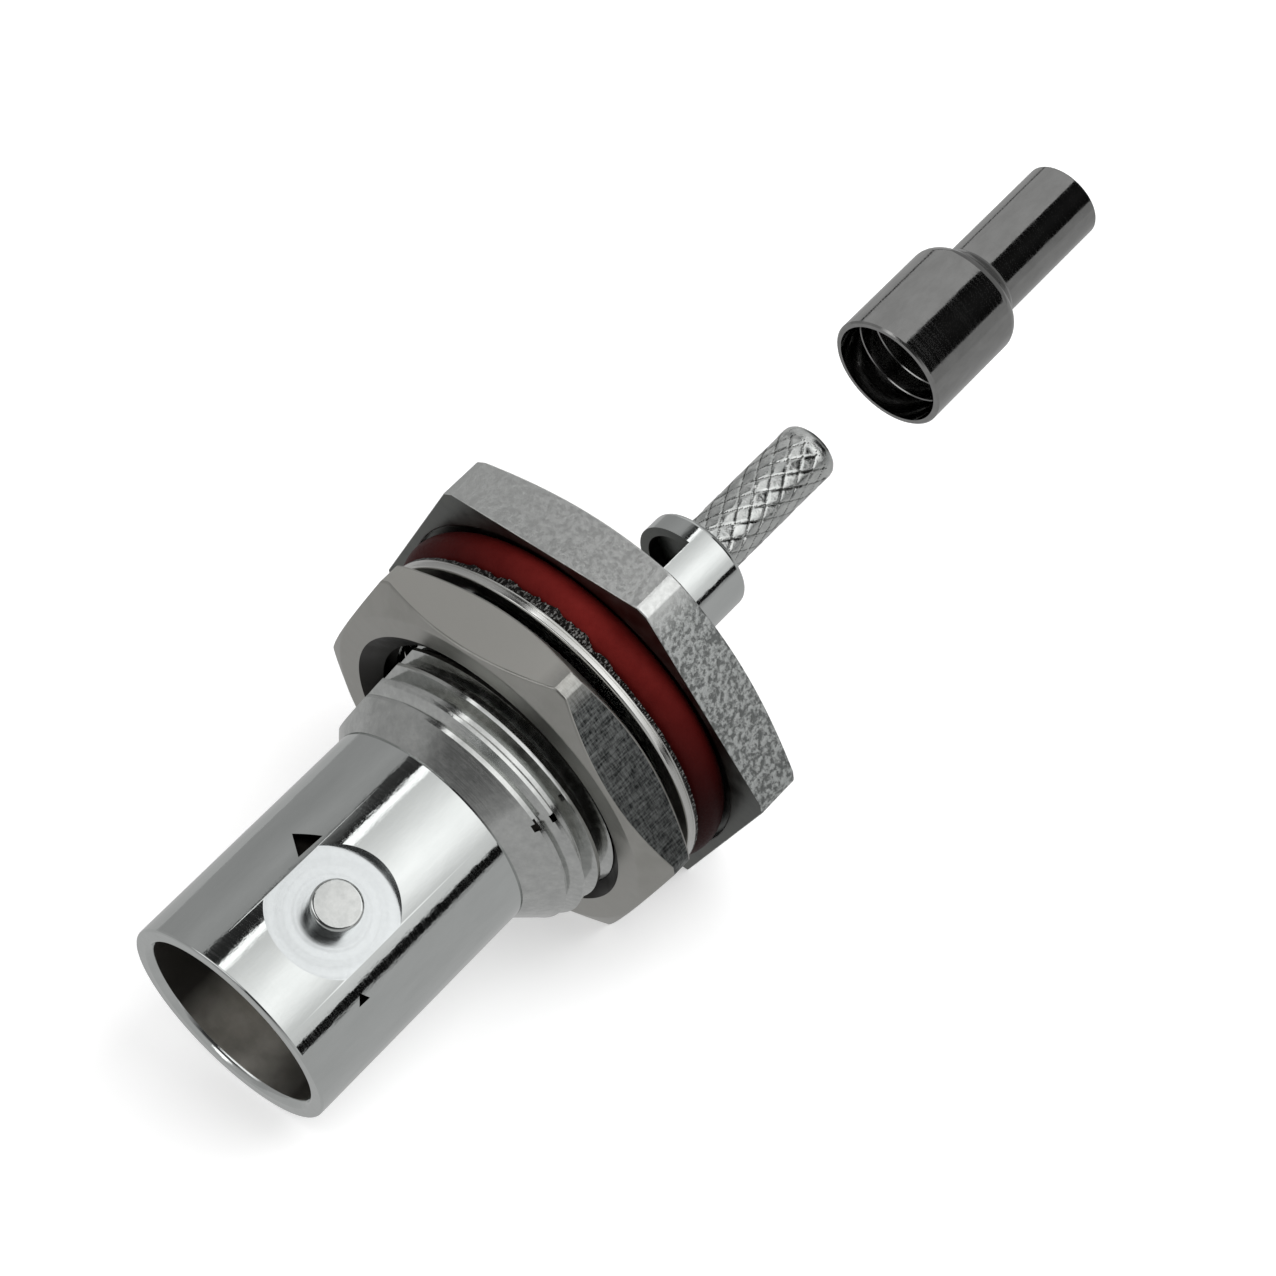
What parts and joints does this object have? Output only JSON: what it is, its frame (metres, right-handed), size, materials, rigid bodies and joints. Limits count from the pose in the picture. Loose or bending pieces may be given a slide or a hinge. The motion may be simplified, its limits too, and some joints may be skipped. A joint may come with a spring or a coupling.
{
  "type": "bnc connector",
  "caption": "Panel-mount female bayonet coaxial jack with hexagon flange, sealing ring, lock washer, panel nut and loose crimp ferrule.",
  "frame": {"origin": "centre of the flange's front face, the face that seats on the panel", "axes": "+Z along the connector's axis, out of the mouth; a hexagon corner and one bayonet stud (3 degrees off) face -Y; the thread's flat and the neck's window face +X"},
  "size_m": [0.0174, 0.02, 0.0527],
  "materials": {
    "bright_nickel": "bright nickel plate",
    "satin_nickel": "satin nickel plate",
    "washer_nickel": "nickel plate",
    "dark_nickel": "dark nickel plate",
    "gold_plate": "gold plate",
    "white_ptfe": "waxy white",
    "red_silicone": "dull dark red rubber"
  },
  "bodies": {
    "connector": {"body_shell": "bright_nickel", "front_insulator": "white_ptfe", "centre_contact": "gold_plate", "rear_insulator": "white_ptfe", "crimp_body": "bright_nickel", "sealing_ring": "red_silicone"},
    "washer": {"lock_washer": "washer_nickel"},
    "nut": {"panel_nut": "satin_nickel"},
    "ferrule": {"crimp_ferrule": "dark_nickel"}
  },
  "joints": [
    {"name": "nut_climb", "type": "slide", "parent": "connector", "child": "washer", "axis": [0, 0, 1], "range_m": [0, 0.00363]},
    {"name": "nut_turn", "type": "hinge", "parent": "washer", "child": "nut", "pos_m": [0, 0, 0.0037], "axis": [0, 0, 1], "range_deg": [0, 1440]},
    {"name": "ferrule_slide", "type": "slide", "parent": "connector", "child": "ferrule", "axis": [0, 0, 1], "range_m": [0, 0.0173]}
  ],
  "couplings": [
    {"joint": "nut_climb", "follows": "nut_turn", "m_per_rad": 0.00014435}
  ]
}
